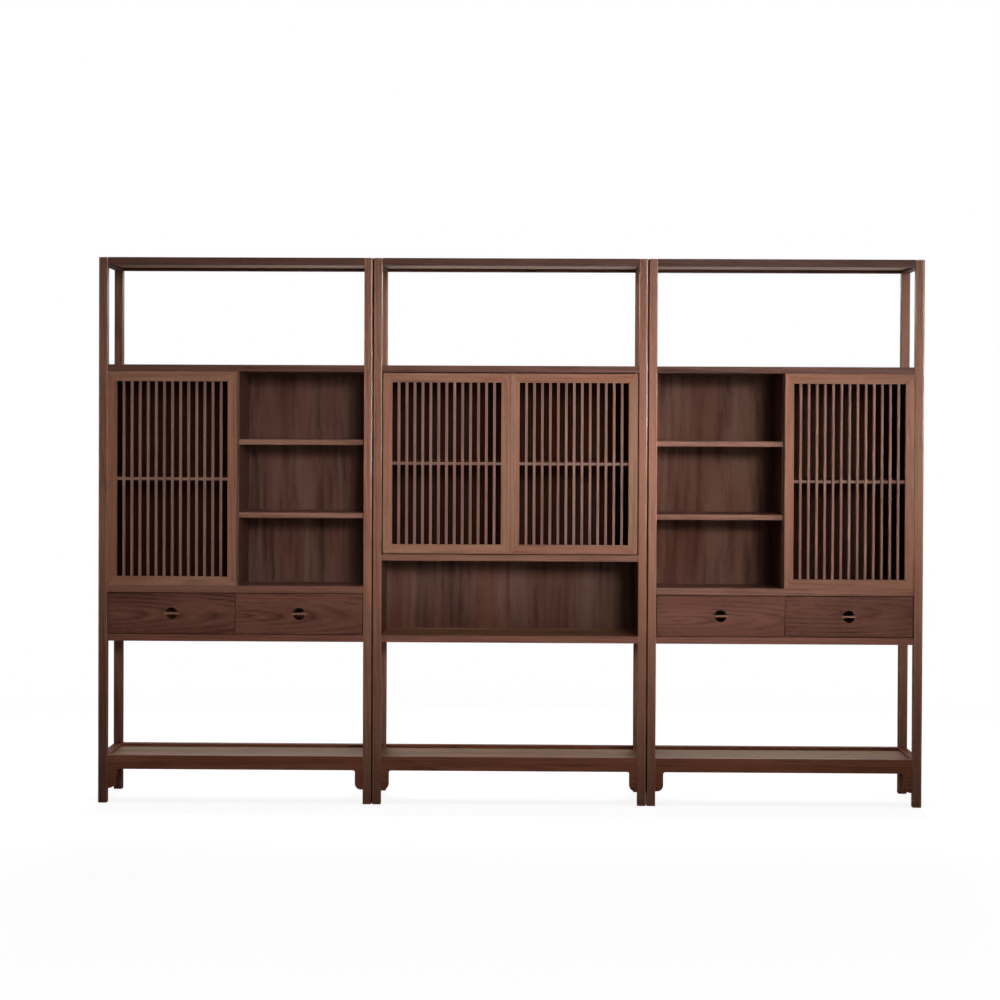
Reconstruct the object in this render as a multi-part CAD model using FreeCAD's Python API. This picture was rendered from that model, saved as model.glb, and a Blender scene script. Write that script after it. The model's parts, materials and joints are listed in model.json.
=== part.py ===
import FreeCAD, Part
import math
import os

# Three-unit display cabinet with sliding and swinging slatted doors and four drawers
Vector = FreeCAD.Vector
os.makedirs("parts", exist_ok=True)

# Overall size of one unit, in millimetres; the row is three units side by side
UNIT_W = 1000.0
UNIT_D = 350.0
UNIT_H = 1990.0

# Posts and rails
POST = 33.0
POST_ROUND = 3.0
POST_CORNER = 6.0
RAIL_SETBACK = 2.0
TENON_T = 10.0
TENON_SHOULDER = 4.0
TENON_GAP = 1.0

# Heights of the horizontal frames: underside and depth of each
TOP_RAIL_H = 28.0
CASE_TOP_Z = 1600.0
CASE_TOP_H = 24.0
SIDE_DECK_Z = 794.5
SIDE_DECK_H = 25.0
CENTRE_DECK_Z = 912.0
CENTRE_DECK_H = 22.0
CASE_BOTTOM_Z = 617.0
CASE_BOTTOM_H = 25.0
LOW_SHELF_Z = 175.0
LOW_SHELF_H = 27.0

# Panels and boards
PANEL_T = 12.0
TONGUE = 8.0
TOP_PANEL_LIFT = 11.0
CASE_TOP_PANEL_LIFT = 6.0
CASE_FLOOR_DROP = 3.0
LOW_SHELF_DROP = 11.0
BACK_PANEL_INSET = 6.0
BOARD_T = 18.0
BOARD_TONGUE_T = 8.0
SIDE_DECK_DROP = 6.0
CENTRE_DECK_DROP = 2.0
HOUSING = 5.0
PARTITION_T = 20.0
SHELF_T = 20.0
SHELF_COUNT = 2
SHELF_CLEAR = 5.0

# Aprons under the low shelf
APRON_T = 14.0
APRON_SETBACK = 6.0
APRON_H = 25.0
BRACKET_W = 29.0
BRACKET_H = 70.0
BRACKET_ROUND = 22.0
BRACKET_FILLET = 8.0

# Doors
DOOR_T = 20.0
DOOR_SETBACK = 3.0
DOOR_MEMBER = 33.0
DOOR_REVEAL = 4.0
DOOR_MEET = 2.0
DOOR_LAP = 3.0
SLAT_COUNT = 13
SLAT_W = 9.5
SLAT_D = 14.0
SLAT_SETBACK = 3.0
SLAT_TENON = 8.0
BAR_H = 10.0
BAR_SETBACK = 7.0
TRACK_T = 9.0
TRACK_TOP_H = 10.0
TRACK_BOTTOM_H = 6.0
TRACK_SPARE = 2.0
TRACK_GAP = 0.5
HINGE_EASE = 2.0

# Pivot pins of the swinging doors, and their catches
PIN_D = 8.0
PIN_IN_DOOR = 22.0
PIN_IN_RAIL = 8.0
PIN_INSET = 10.0
COLLAR_D = 14.0
SOCKET_D = 15.0
SOCKET_L = 10.0
CATCH_W = 30.0
CATCH_H = 14.0
CATCH_OFFSET = 15.0
STRIKE_T = 1.5
STRIKE_H = 10.0

# Drawers
DRAWER_GAP = 3.0
DRAWER_MEET = 2.0
DRAWER_FRONT_T = 20.0
DRAWER_SIDE_T = 12.0
DRAWER_SIDE_H = 105.0
DRAWER_BACK_GAP = 10.0
DRAWER_BASE_T = 6.0
DRAWER_BASE_LIFT = 8.0
DRAWER_GROOVE = 5.0
DRAWER_TENON = 8.0
DRAWER_CLEAR = 6.0
DIVIDER_T = 18.0
RUNNER_W = 16.0
RUNNER_H = 15.0
PULL_HOLE_D = 44.0
PULL_BAR_L = 54.0
PULL_BAR_H = 8.0
PULL_BAR_T = 9.0
PULL_PROUD = 1.5

# Clearances: glued fits, faces that pass each other, and pins that turn
FIT = 0.1
RUN = 0.3
PIN_RUN = 0.08

# Values that follow from the sizes above
HALF_W = UNIT_W / 2
HALF_D = UNIT_D / 2
INNER_X = HALF_W - POST
INNER_Y = HALF_D - POST
RAIL_D = POST - RAIL_SETBACK
TENON_L = (POST - TENON_T) / 2 - TENON_GAP
TOP_RAIL_Z = UNIT_H - TOP_RAIL_H
CEILING_Z = CASE_TOP_Z - CASE_TOP_H
FLOOR_Z = CASE_BOTTOM_Z - CASE_FLOOR_DROP
LOW_RAIL_Z = LOW_SHELF_Z - LOW_SHELF_H
BACK_Y = INNER_Y + BACK_PANEL_INSET
DOOR_Y0 = DOOR_SETBACK - HALF_D
DOOR_Y1 = DOOR_Y0 + DOOR_T
SHELF_Y0 = DOOR_Y1 + SHELF_CLEAR
DRAWER_DEPTH = BACK_Y - DRAWER_BACK_GAP - DOOR_Y0 - DRAWER_FRONT_T

UNITS = (("left", -UNIT_W, -1), ("centre", 0.0, 0), ("right", UNIT_W, 1))


def block(x0, x1, y0, y1, z0, z1):
    """A rectangular solid between two corners."""
    return Part.makeBox(x1 - x0, y1 - y0, z1 - z0, Vector(x0, y0, z0))


def grown(x0, x1, y0, y1, z0, z1, by=FIT):
    """The same rectangular solid, larger by the fit on every side."""
    return block(x0 - by, x1 + by, y0 - by, y1 + by, z0 - by, z1 + by)


def rod(diameter, height, x, y, z, axis=Vector(0, 0, 1)):
    """A round bar standing on a point."""
    return Part.makeCylinder(diameter / 2, height, Vector(x, y, z), axis)


def upright_edges(solid):
    """The straight edges of a solid that run up and down."""
    found = []
    for edge in solid.Edges:
        run = edge.Vertexes[-1].Point - edge.Vertexes[0].Point
        if abs(run.x) < 1e-6 and abs(run.y) < 1e-6:
            found.append(edge)
    return found


def edge_near(edge, corner):
    """Whether an upright edge stands within a corner's rounding."""
    point = edge.Vertexes[0].Point
    return abs(point.x - corner.x) <= POST_CORNER and abs(point.y - corner.y) <= POST_CORNER


def edges_at(solid, corner):
    """The upright edges of a solid that stand at a corner."""
    return [edge for edge in upright_edges(solid) if edge_near(edge, corner)]


def moved(solids, x):
    """Copies of solids, shifted sideways to the middle of a unit."""
    return [solid.translated(Vector(x, 0, 0)) for solid in solids]


def cut_all(solid, tools):
    """A solid with every tool taken out of it."""
    return solid.cut(Part.makeCompound(tools)) if tools else solid


def save(node, solids):
    """Write one named group of separate solids."""
    clean = []
    for solid in solids:
        for piece in solid.Solids:
            clean.append(piece)
    shape = clean[0] if len(clean) == 1 else Part.makeCompound(clean)
    shape.exportStep("parts/" + node + ".step")


def rail_with_tenons(x0, x1, y0, y1, z0, z1, along, mid):
    """A rail between two posts, with a tenon at each end.

    Returns the rail and the two mortises that its tenons need.
    """
    low = z0 + TENON_SHOULDER
    high = z1 - TENON_SHOULDER
    half = TENON_T / 2
    if along == "x":
        ends = ((x0 - TENON_L, x0, mid - half, mid + half), (x1, x1 + TENON_L, mid - half, mid + half))
    else:
        ends = ((mid - half, mid + half, y0 - TENON_L, y0), (mid - half, mid + half, y1, y1 + TENON_L))
    rail = block(x0, x1, y0, y1, z0, z1)
    mortises = []
    for a, b, c, d in ends:
        rail = rail.fuse(block(a, b, c, d, low, high))
        mortises.append(grown(a, b, c, d, low, high))
    return rail.removeSplitter(), mortises


def front_rail(z0, z1):
    """The rail across the front of a unit, with its mortises."""
    y0 = RAIL_SETBACK - HALF_D
    return rail_with_tenons(-INNER_X, INNER_X, y0, y0 + RAIL_D, z0, z1, "x", POST / 2 - HALF_D)


def rail_frame(z0, z1):
    """Four rails between the posts, front, back, left and right, with their mortises."""
    rails = []
    mortises = []
    back = HALF_D - RAIL_SETBACK
    side = HALF_W - RAIL_SETBACK
    mid = HALF_W - POST / 2
    made = (
        front_rail(z0, z1),
        rail_with_tenons(-INNER_X, INNER_X, back - RAIL_D, back, z0, z1, "x", HALF_D - POST / 2),
        rail_with_tenons(-side, RAIL_D - side, -INNER_Y, INNER_Y, z0, z1, "y", -mid),
        rail_with_tenons(side - RAIL_D, side, -INNER_Y, INNER_Y, z0, z1, "y", mid),
    )
    for rail, holes in made:
        rails.append(rail)
        mortises.extend(holes)
    return rails, mortises


def frame_panel(z0, extra=0.0):
    """A loose panel whose tongues sit in the grooves of four rails."""
    reach = TONGUE + 4 * extra
    wide = block(-INNER_X - reach, INNER_X + reach, -INNER_Y, INNER_Y, z0 - extra, z0 + PANEL_T + extra)
    deep = block(-INNER_X, INNER_X, -INNER_Y - reach, INNER_Y + reach, z0 - extra, z0 + PANEL_T + extra)
    return wide.fuse(deep).removeSplitter()


def framed_panel(z0, z1, panel_z):
    """A frame of four grooved rails, its panel and its mortises."""
    rails, mortises = rail_frame(z0, z1)
    groove = frame_panel(panel_z, FIT)
    return [rail.cut(groove) for rail in rails], frame_panel(panel_z), mortises


def deck_board(top, grow=0.0):
    """A fixed board across the case: a tongue in front and a housed edge at each side."""
    z0 = top - BOARD_T - grow
    z1 = top + grow
    middle = (z0 + z1) / 2
    half = BOARD_TONGUE_T / 2 + grow
    board = block(-INNER_X, INNER_X, -INNER_Y, BACK_Y, z0, z1)
    reach = INNER_X + HOUSING + grow
    ears = block(-reach, reach, -INNER_Y, INNER_Y, z0, z1)
    tongue = block(-INNER_X, INNER_X, -INNER_Y - TONGUE - grow, -INNER_Y, middle - half, middle + half)
    return board.fuse([ears, tongue]).removeSplitter()


def apron_outline(half):
    """The outline of an apron in its own plane: across, then up."""
    top = LOW_RAIL_Z
    low = top - APRON_H
    foot = low - BRACKET_H
    inner = half - BRACKET_W
    f = BRACKET_FILLET
    r = BRACKET_ROUND
    d = math.sqrt(0.5)
    p = [
        (-half, top), (half, top), (half, foot), (inner + r, foot), (inner, foot + r),
        (inner, low - f), (inner - f, low), (f - inner, low), (-inner, low - f),
        (-inner, foot + r), (-inner - r, foot), (-half, foot),
    ]
    lower_right = (inner + r - r * d, foot + r - r * d)
    upper_right = (inner - f + f * d, low - f + f * d)
    upper_left = (f - inner - f * d, low - f + f * d)
    lower_left = (r * d - inner - r, foot + r - r * d)
    steps = [
        ("line", 0, 1, None), ("line", 1, 2, None), ("line", 2, 3, None), ("arc", 3, 4, lower_right),
        ("line", 4, 5, None), ("arc", 5, 6, upper_right), ("line", 6, 7, None),
        ("arc", 7, 8, upper_left), ("line", 8, 9, None), ("arc", 9, 10, lower_left),
        ("line", 10, 11, None), ("line", 11, 0, None),
    ]
    return p, steps


def apron(half, place, depth):
    """A one-piece apron with a bracket at each end, thickened along one direction."""
    points, steps = apron_outline(half)
    edges = []
    for kind, a, b, via in steps:
        if kind == "line":
            edges.append(Part.LineSegment(place(points[a]), place(points[b])).toShape())
        else:
            edges.append(Part.Arc(place(points[a]), place(via), place(points[b])).toShape())
    return Part.Face(Part.Wire(edges)).extrude(depth)


def apron_set():
    """The front apron and the two side aprons of a unit."""
    y = APRON_SETBACK - HALF_D
    x = HALF_W - APRON_SETBACK
    front = apron(INNER_X, lambda p: Vector(p[0], y, p[1]), Vector(0, APRON_T, 0))
    left = apron(INNER_Y, lambda p: Vector(-x, p[0], p[1]), Vector(APRON_T, 0, 0))
    right = apron(INNER_Y, lambda p: Vector(x, p[0], p[1]), Vector(-APRON_T, 0, 0))
    return [front, left, right]


def side_panel(sign):
    """An end panel of the case, tongued into the front and back posts."""
    x0 = INNER_X if sign > 0 else -INNER_X - PANEL_T
    reach = INNER_Y + TONGUE
    return block(x0, x0 + PANEL_T, -reach, reach, CASE_BOTTOM_Z, CEILING_Z)


def back_panel():
    """The back of the case, tongued into the back posts."""
    reach = INNER_X + TONGUE
    return block(-reach, reach, BACK_Y, BACK_Y + PANEL_T, CASE_BOTTOM_Z, CEILING_Z)


def wall_grooves():
    """The grooves that the case walls need in the posts."""
    reach = INNER_Y + TONGUE
    wide = INNER_X + TONGUE
    grooves = []
    for x0 in (INNER_X, -INNER_X - PANEL_T):
        grooves.append(grown(x0, x0 + PANEL_T, -reach, reach, CASE_BOTTOM_Z, CEILING_Z))
    grooves.append(grown(-wide, wide, BACK_Y, BACK_Y + PANEL_T, CASE_BOTTOM_Z, CEILING_Z))
    return grooves


def posts(mortises):
    """Four posts, round at the outer corner and softened elsewhere, mortised for what joins them."""
    made = []
    for x in (-HALF_W, INNER_X):
        for y in (-HALF_D, INNER_Y):
            post = block(x, x + POST, y, y + POST, 0, UNIT_H)
            corner = Vector(x if x < 0 else x + POST, y if y < 0 else y + POST, 0)
            post = post.makeFillet(POST_CORNER, edges_at(post, corner))
            others = [edge for edge in upright_edges(post) if not edge_near(edge, corner)]
            post = post.makeFillet(POST_ROUND, others)
            made.append(cut_all(post, mortises))
    return made


def shelf(x0, x1, z0, housed_left, housed_right, grow=0.0):
    """A fixed shelf, let into whatever stands at each end."""
    board = block(x0, x1, SHELF_Y0, BACK_Y, z0 - grow, z0 + SHELF_T + grow)
    a = x0 - (HOUSING + grow if housed_left else 0)
    b = x1 + (HOUSING + grow if housed_right else 0)
    ears = block(a, b, -INNER_Y, INNER_Y, z0 - grow, z0 + SHELF_T + grow)
    return board.fuse(ears).removeSplitter()


def mitred(corners, y0, y1):
    """A door member cut to a four-cornered outline across and up."""
    loop = [Vector(x, y0, z) for x, z in corners]
    face = Part.Face(Part.makePolygon(loop + [loop[0]]))
    return face.extrude(Vector(0, y1 - y0, 0))


def slat_positions(x0, x1):
    """The left edge of every slat, with equal gaps between them."""
    opening = x1 - x0 - 2 * DOOR_MEMBER
    gap = (opening - SLAT_COUNT * SLAT_W) / (SLAT_COUNT + 1)
    return [x0 + DOOR_MEMBER + gap * (k + 1) + SLAT_W * k for k in range(SLAT_COUNT)]


def slatted_door(x0, x1, z0, z1):
    """A mitred frame of four members, and its thirteen slats and middle bar."""
    w = DOOR_MEMBER
    y0 = DOOR_Y0
    y1 = DOOR_Y1
    members = [
        mitred([(x0, z0), (x0 + w, z0 + w), (x0 + w, z1 - w), (x0, z1)], y0, y1),
        mitred([(x1, z0), (x1, z1), (x1 - w, z1 - w), (x1 - w, z0 + w)], y0, y1),
        mitred([(x0, z1), (x0 + w, z1 - w), (x1 - w, z1 - w), (x1, z1)], y0, y1),
        mitred([(x0, z0), (x1, z0), (x1 - w, z0 + w), (x0 + w, z0 + w)], y0, y1),
    ]
    s0 = y0 + SLAT_SETBACK
    s1 = s0 + SLAT_D
    low = z0 + w - SLAT_TENON
    high = z1 - w + SLAT_TENON
    middle = (z0 + z1) / 2
    b0 = s0 + BAR_SETBACK
    bar_box = (x0 + w - SLAT_TENON, x1 - w + SLAT_TENON, b0, s1, middle - BAR_H / 2, middle + BAR_H / 2)
    bar = block(*bar_box)
    notch = grown(*bar_box)
    slats = []
    mortises = [notch]
    for x in slat_positions(x0, x1):
        slats.append(block(x, x + SLAT_W, s0, s1, low, high).cut(notch))
        mortises.append(grown(x, x + SLAT_W, s0, s1, low, high))
    return [cut_all(member, mortises) for member in members], slats + [bar]


def track_groove(top):
    """The groove that a sliding door's tongue runs in, above or below the door."""
    y = (DOOR_Y0 + DOOR_Y1) / 2
    half = TRACK_T / 2 + TRACK_GAP
    if top:
        z0 = CEILING_Z - FIT
        z1 = CEILING_Z + TRACK_TOP_H + TRACK_SPARE
    else:
        z0 = SIDE_DECK_Z - TRACK_BOTTOM_H - TRACK_SPARE
        z1 = SIDE_DECK_Z + FIT
    return block(-INNER_X, INNER_X, y - half, y + half, z0, z1)


def sliding_door(sign):
    """A slatted door just over half the unit wide, in two grooves, parked at the outer post."""
    width = INNER_X + DOOR_LAP
    x0 = -INNER_X + TRACK_GAP if sign < 0 else INNER_X - TRACK_GAP - width
    x1 = x0 + width
    z0 = SIDE_DECK_Z + TRACK_GAP
    z1 = CEILING_Z - DOOR_REVEAL
    members, slats = slatted_door(x0, x1, z0, z1)
    y = (DOOR_Y0 + DOOR_Y1) / 2
    y0 = y - TRACK_T / 2
    y1 = y + TRACK_T / 2
    members[2] = members[2].fuse(block(x0, x1, y0, y1, z1, CEILING_Z + TRACK_TOP_H)).removeSplitter()
    members[3] = members[3].fuse(block(x0, x1, y0, y1, z0 - TRACK_BOTTOM_H, z0)).removeSplitter()
    return members, slats


def swinging_door(sign):
    """A slatted door on two pivot pins, its frame eased at the hinge edge."""
    outer = sign * (INNER_X - DOOR_REVEAL)
    inner = sign * DOOR_MEET / 2
    x0 = min(outer, inner)
    x1 = max(outer, inner)
    z0 = CENTRE_DECK_Z + DOOR_REVEAL
    z1 = CEILING_Z - DOOR_REVEAL
    members, slats = slatted_door(x0, x1, z0, z1)
    ease = HINGE_EASE
    corner = [Vector(outer, DOOR_Y0, z0 - 1), Vector(outer - sign * ease, DOOR_Y0, z0 - 1),
              Vector(outer, DOOR_Y0 + ease, z0 - 1)]
    wedge = Part.Face(Part.makePolygon(corner + [corner[0]])).extrude(Vector(0, 0, z1 - z0 + 2))
    px = outer - sign * PIN_INSET
    py = DOOR_Y0 + PIN_INSET
    top_pin = rod(PIN_D, PIN_IN_DOOR + DOOR_REVEAL + PIN_IN_RAIL, px, py, z1 - PIN_IN_DOOR)
    low_pin = rod(PIN_D, PIN_IN_DOOR + DOOR_REVEAL + PIN_IN_RAIL, px, py, CENTRE_DECK_Z - PIN_IN_RAIL)
    collar = rod(COLLAR_D, DOOR_REVEAL - RUN, px, py, CENTRE_DECK_Z + RUN)
    low_pin = low_pin.fuse(collar).removeSplitter()
    c0 = sign * CATCH_OFFSET
    c1 = sign * (CATCH_OFFSET + CATCH_W)
    strike_box = (min(c0, c1), max(c0, c1), DOOR_Y1 - STRIKE_T, DOOR_Y1,
                  z1 - DOOR_MEMBER / 2 - STRIKE_H / 2, z1 - DOOR_MEMBER / 2 + STRIKE_H / 2)
    strike = block(*strike_box)
    holes = [wedge, grown(*strike_box)]
    holes.append(rod(PIN_D + 2 * FIT, PIN_IN_DOOR + FIT + 1, px, py, z1 - PIN_IN_DOOR - FIT))
    holes.append(rod(PIN_D + 2 * FIT, PIN_IN_DOOR + FIT + 1, px, py, z0 - 1))
    return [cut_all(member, holes) for member in members], slats, [top_pin, low_pin, strike]


def pivot_sockets():
    """Four round sockets, in the rails above and below the swinging doors."""
    sockets = []
    seats = []
    for sign in (-1, 1):
        px = sign * (INNER_X - DOOR_REVEAL - PIN_INSET)
        py = DOOR_Y0 + PIN_INSET
        for z in (CEILING_Z, CENTRE_DECK_Z - SOCKET_L):
            bore = rod(PIN_D + 2 * PIN_RUN, SOCKET_L + 2, px, py, z - 1)
            sockets.append(rod(SOCKET_D, SOCKET_L, px, py, z).cut(bore))
            z0 = z - 1 if z == CEILING_Z else z - FIT
            seats.append(rod(SOCKET_D + 2 * FIT, SOCKET_L + 1 + FIT, px, py, z0))
    return sockets, seats


def catches():
    """A catch block for each swinging door, under the rail above them."""
    made = []
    for sign in (-1, 1):
        c0 = sign * CATCH_OFFSET
        c1 = sign * (CATCH_OFFSET + CATCH_W)
        y0 = DOOR_Y1 + RUN
        low = CEILING_Z - DOOR_REVEAL - DOOR_MEMBER / 2 - CATCH_H / 2
        made.append(block(min(c0, c1), max(c0, c1), y0, -INNER_Y, low, CEILING_Z))
    return made


def drawer_bay(side):
    """The clear width of a drawer front in its half of the unit."""
    if side < 0:
        return -INNER_X + DRAWER_GAP, -DRAWER_MEET / 2
    return DRAWER_MEET / 2, INNER_X - DRAWER_GAP


def drawer_box_span(side):
    """The outside width of a drawer's box, between the case wall and the divider."""
    near = DIVIDER_T / 2 + DRAWER_CLEAR
    far = INNER_X - DRAWER_CLEAR
    return (-far, -near) if side < 0 else (near, far)


def drawer(side):
    """One drawer: its front, its box of four boards, and its pull bar."""
    x0, x1 = drawer_bay(side)
    y0 = DOOR_Y0
    y1 = y0 + DRAWER_FRONT_T
    z0 = CASE_BOTTOM_Z + DRAWER_GAP
    z1 = SIDE_DECK_Z - SIDE_DECK_H - DRAWER_GAP
    a, b = drawer_box_span(side)
    t = DRAWER_SIDE_T
    low = FLOOR_Z + RUNNER_H + RUN
    high = low + DRAWER_SIDE_H
    back = y1 + DRAWER_DEPTH
    s0 = y1 - DRAWER_TENON
    base_z = low + DRAWER_BASE_LIFT
    g = DRAWER_GROOVE
    base_box = (a + t - g, b - t + g, y1 - g, back - t + g, base_z, base_z + DRAWER_BASE_T)
    base = block(*base_box)
    groove = grown(*base_box)
    sides = [block(a, a + t, s0, back, low, high).cut(groove)]
    sides.append(block(b - t, b, s0, back, low, high).cut(groove))
    back_board = block(a + t, b - t, back - t, back, low, high).cut(groove)
    sockets = [grown(a, a + t, s0, back, low, high), grown(b - t, b, s0, back, low, high)]
    cx = (x0 + x1) / 2
    cz = (z0 + z1) / 2
    bar_box = (cx - PULL_BAR_L / 2, cx + PULL_BAR_L / 2, y0 - PULL_PROUD, y0 - PULL_PROUD + PULL_BAR_T,
               cz - PULL_BAR_H / 2, cz + PULL_BAR_H / 2)
    bar = block(*bar_box)
    hole = rod(PULL_HOLE_D, DRAWER_FRONT_T + 2, cx, y0 - 1, cz, Vector(0, 1, 0))
    front = block(x0, x1, y0, y1, z0, z1)
    front = cut_all(front, sockets + [groove, hole, grown(*bar_box)])
    return front, sides + [back_board, base], bar


def drawer_guides():
    """The divider between two drawers, and the four runners that they slide on."""
    half = DIVIDER_T / 2
    top = SIDE_DECK_Z - SIDE_DECK_DROP - BOARD_T
    divider = block(-half, half, -INNER_Y, INNER_Y, FLOOR_Z, top)
    guides = [divider.fuse(block(-half, half, INNER_Y, BACK_Y, CASE_BOTTOM_Z, top)).removeSplitter()]
    near = DIVIDER_T / 2
    for x0 in (near, INNER_X - RUNNER_W - 2 * FIT, -near - RUNNER_W, 2 * FIT - INNER_X):
        guides.append(block(x0, x0 + RUNNER_W, -INNER_Y + FIT, INNER_Y - FIT, FLOOR_Z, FLOOR_Z + RUNNER_H))
    return guides


def partition(grow=0.0):
    """The upright board in the middle of a side unit."""
    half = PARTITION_T / 2 + grow
    floor = SIDE_DECK_Z - SIDE_DECK_DROP
    body = block(-half, half, SHELF_Y0, BACK_Y, SIDE_DECK_Z, CEILING_Z)
    foot = block(-half, half, -INNER_Y, BACK_Y, floor, SIDE_DECK_Z)
    head = block(-half, half, -INNER_Y, INNER_Y, CEILING_Z, CEILING_Z + CASE_TOP_PANEL_LIFT)
    return body.fuse([foot, head]).removeSplitter()


def side_unit_shelves(sign):
    """Two display shelves in the open half and one shelf behind the door, with their housings."""
    half = PARTITION_T / 2
    clear = (CEILING_Z - SIDE_DECK_Z - SHELF_COUNT * SHELF_T) / (SHELF_COUNT + 1)
    door_mid = (SIDE_DECK_Z + TRACK_GAP + CEILING_Z - DOOR_REVEAL) / 2 - SHELF_T / 2
    open_span = (half, INNER_X) if sign < 0 else (-INNER_X, -half)
    shut_span = (-INNER_X, -half) if sign < 0 else (half, INNER_X)
    levels = [SIDE_DECK_Z + clear * (k + 1) + SHELF_T * k for k in range(SHELF_COUNT)]
    spans = [(open_span, z) for z in levels] + [(shut_span, door_mid)]
    boards = []
    housings = []
    for span, z in spans:
        boards.append(shelf(span[0], span[1], z, True, True))
        housings.append(shelf(span[0], span[1], z, True, True, FIT))
    return boards, housings


def common_frames():
    """The frames and panels that every unit has, with all their mortises."""
    top = framed_panel(TOP_RAIL_Z, UNIT_H, TOP_RAIL_Z + TOP_PANEL_LIFT)
    case_top = framed_panel(CEILING_Z, CASE_TOP_Z, CEILING_Z + CASE_TOP_PANEL_LIFT)
    case_bottom = framed_panel(CASE_BOTTOM_Z - CASE_BOTTOM_H, CASE_BOTTOM_Z, FLOOR_Z - PANEL_T)
    low = framed_panel(LOW_RAIL_Z, LOW_SHELF_Z, LOW_SHELF_Z - LOW_SHELF_DROP - PANEL_T)
    return top, case_top, case_bottom, low


def build_unit(name, x, sign):
    """Make and write every fixed piece of one unit."""
    top, case_top, case_bottom, low = common_frames()
    mortises = top[2] + case_top[2] + case_bottom[2] + low[2] + wall_grooves()
    if sign:
        deck_z, deck_h, drop = SIDE_DECK_Z, SIDE_DECK_H, SIDE_DECK_DROP
    else:
        deck_z, deck_h, drop = CENTRE_DECK_Z, CENTRE_DECK_H, CENTRE_DECK_DROP
    deck_rail, deck_mortises = front_rail(deck_z - deck_h, deck_z)
    board_housing = deck_board(deck_z - drop, FIT)
    deck_rail = deck_rail.cut(board_housing)
    housings = [board_housing]
    case_top_rails = case_top[0]
    if sign:
        shelves, shelf_housings = side_unit_shelves(sign)
        housings.extend(shelf_housings)
        case_top_rails = [case_top_rails[0].cut(track_groove(True))] + case_top_rails[1:]
        deck_rail = deck_rail.cut(track_groove(False))
        save(name + "_partition", moved([cut_all(partition(), shelf_housings)], x))
        save(name + "_shelves", moved(shelves, x))
        save(name + "_drawer_guides", moved(drawer_guides(), x))
    else:
        sockets, seats = pivot_sockets()
        middle = (CENTRE_DECK_Z + CEILING_Z - SHELF_T) / 2
        housings.append(shelf(-INNER_X, INNER_X, middle, True, True, FIT))
        case_top_rails = [cut_all(case_top_rails[0], seats)] + case_top_rails[1:]
        deck_rail = cut_all(deck_rail, seats)
        save(name + "_cupboard_shelf", moved([shelf(-INNER_X, INNER_X, middle, True, True)], x))
        save(name + "_pivot_sockets", moved(sockets, x))
        save(name + "_door_catches", moved(catches(), x))
    walls = [cut_all(side_panel(-1), housings), cut_all(side_panel(1), housings), back_panel()]
    save(name + "_posts", moved(posts(mortises + deck_mortises), x))
    save(name + "_top_frame", moved(top[0], x))
    save(name + "_case_top_frame", moved(case_top_rails, x))
    save(name + "_case_bottom_frame", moved(case_bottom[0], x))
    save(name + "_low_shelf_frame", moved(low[0], x))
    save(name + "_frame_panels", moved([top[1], case_top[1], case_bottom[1], low[1]], x))
    save(name + "_case_walls", moved(walls, x))
    save(name + "_deck", moved([deck_rail, deck_board(deck_z - drop)], x))
    save(name + "_aprons", moved(apron_set(), x))


def build_doors():
    """Make and write the two sliding doors and the two swinging doors."""
    for name, x, sign in UNITS:
        if sign:
            members, slats = sliding_door(sign)
            save(name + "_door_frame", moved(members, x))
            save(name + "_door_slats", moved(slats, x))
    for name, sign in (("centre_left", -1), ("centre_right", 1)):
        members, slats, pins = swinging_door(sign)
        save(name + "_door_frame", members)
        save(name + "_door_slats", slats)
        save(name + "_door_pins", pins)


def build_drawers():
    """Make and write the four drawers, numbered from the left."""
    number = 0
    for name, x, sign in UNITS:
        if not sign:
            continue
        for side in (-1, 1):
            number += 1
            front, box, bar = drawer(side)
            label = "drawer_" + str(number)
            save(label + "_front", moved([front], x))
            save(label + "_box", moved(box, x))
            save(label + "_pull", moved([bar], x))


for unit_name, unit_x, unit_sign in UNITS:
    build_unit(unit_name, unit_x, unit_sign)
build_doors()
build_drawers()
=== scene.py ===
import json
import logging
import math
import random
from dataclasses import dataclass
from enum import Enum
from typing import Callable, Mapping, Sequence, Union

import bmesh
import bpy
import numpy as np
from mathutils import Matrix, Vector

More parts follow.
